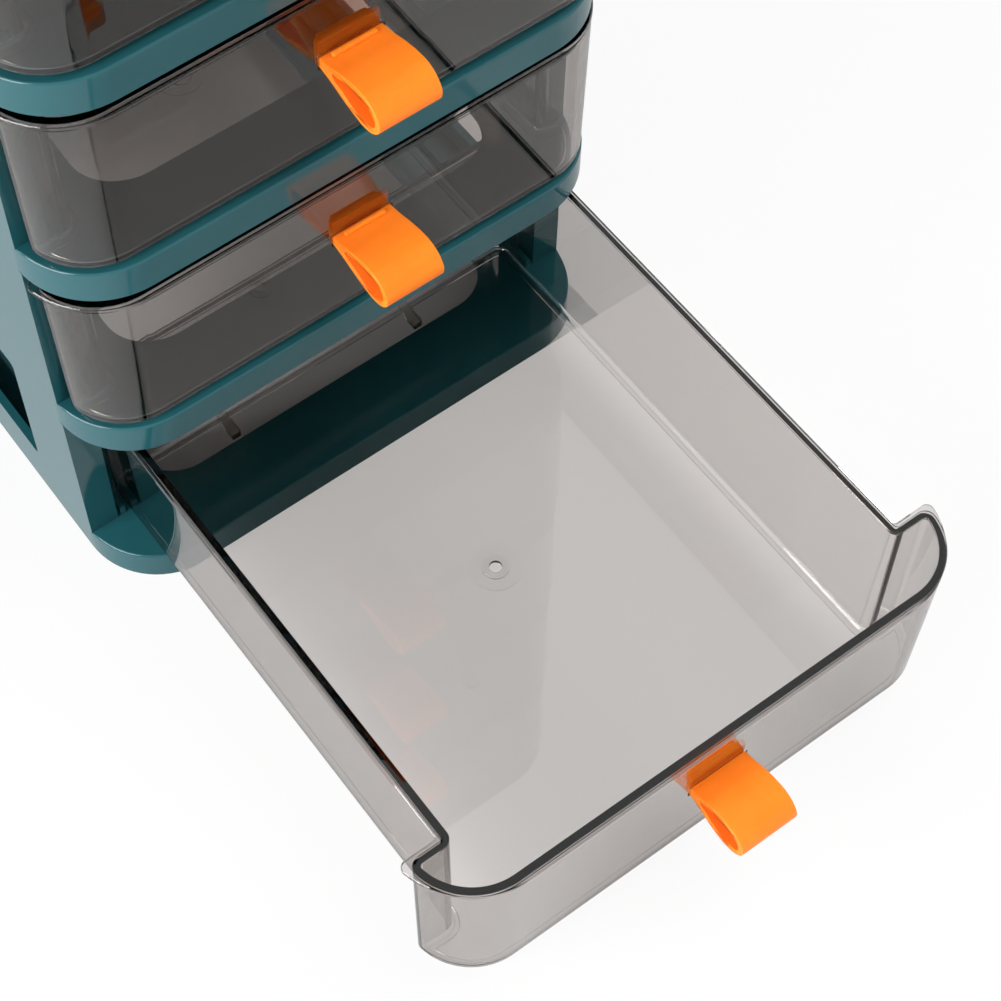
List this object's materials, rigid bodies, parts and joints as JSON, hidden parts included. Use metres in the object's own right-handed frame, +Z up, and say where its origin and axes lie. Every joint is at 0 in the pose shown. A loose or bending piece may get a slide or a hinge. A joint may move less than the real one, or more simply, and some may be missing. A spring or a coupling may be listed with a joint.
{
  "type": "drawer organizer",
  "caption": "Stackable tower of smoked translucent drawers with orange silicone loop pulls, the bottom drawer pulled open, for makeup and small desk items.",
  "frame": {"origin": "middle of the front rail of the base, on the surface the tower stands on, halfway through the rail's thickness", "axes": "+X to the right as seen from the front, +Y from the drawer fronts towards the back wall, +Z up"},
  "size_m": [0.1706, 0.3677, 0.3505],
  "materials": {
    "frame_plastic": "opaque dark teal plastic, glossy moulded",
    "tray_plastic": "clear smoked grey plastic, polished",
    "pull_rubber": "soft orange silicone, satin"
  },
  "bodies": {
    "cabinet": {"layer_frame_1": "frame_plastic", "layer_frame_2": "frame_plastic", "layer_frame_3": "frame_plastic", "layer_frame_4": "frame_plastic", "layer_frame_5": "frame_plastic", "top_cover": "frame_plastic"},
    "tray_1": {"drawer_1": "tray_plastic", "pull_1": "pull_rubber"},
    "tray_2": {"drawer_2": "tray_plastic", "pull_2": "pull_rubber"},
    "tray_3": {"drawer_3": "tray_plastic", "pull_3": "pull_rubber"},
    "tray_4": {"drawer_4": "tray_plastic", "pull_4": "pull_rubber"},
    "tray_5": {"drawer_5": "tray_plastic", "pull_5": "pull_rubber"}
  },
  "joints": [
    {"name": "tray_1_slide", "type": "slide", "parent": "cabinet", "child": "tray_1", "axis": [0, -1, 0], "range_m": [-0.1524, 0.0012]},
    {"name": "tray_2_slide", "type": "slide", "parent": "cabinet", "child": "tray_2", "axis": [0, -1, 0], "range_m": [0, 0.1536]},
    {"name": "tray_3_slide", "type": "slide", "parent": "cabinet", "child": "tray_3", "axis": [0, -1, 0], "range_m": [0, 0.1536]},
    {"name": "tray_4_slide", "type": "slide", "parent": "cabinet", "child": "tray_4", "axis": [0, -1, 0], "range_m": [0, 0.1536]},
    {"name": "tray_5_slide", "type": "slide", "parent": "cabinet", "child": "tray_5", "axis": [0, -1, 0], "range_m": [0, 0.1536]}
  ]
}
